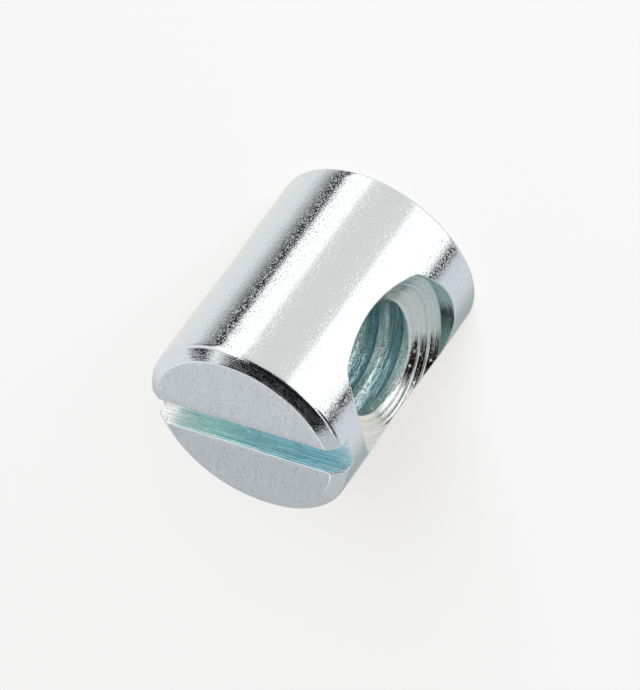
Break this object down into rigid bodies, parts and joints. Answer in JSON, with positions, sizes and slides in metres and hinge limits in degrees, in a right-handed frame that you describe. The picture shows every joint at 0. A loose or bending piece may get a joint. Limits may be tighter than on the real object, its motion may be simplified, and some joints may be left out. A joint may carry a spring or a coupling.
{
  "type": "cross dowel barrel nut",
  "caption": "Short steel barrel with a threaded hole across it, countersunk at both mouths, and a screwdriver slot in one chamfered end.",
  "frame": {"origin": "centre of the plain end, on the barrel's axis, where the barrel stands", "axes": "+Z along the barrel's axis, towards the slotted end; +X along the threaded cross hole and the driver slot"},
  "size_m": [0.01, 0.01, 0.012],
  "materials": {
    "zinc_plated_steel": "satin"
  },
  "bodies": {
    "root": {"barrel": "zinc_plated_steel"}
  },
  "joints": []
}
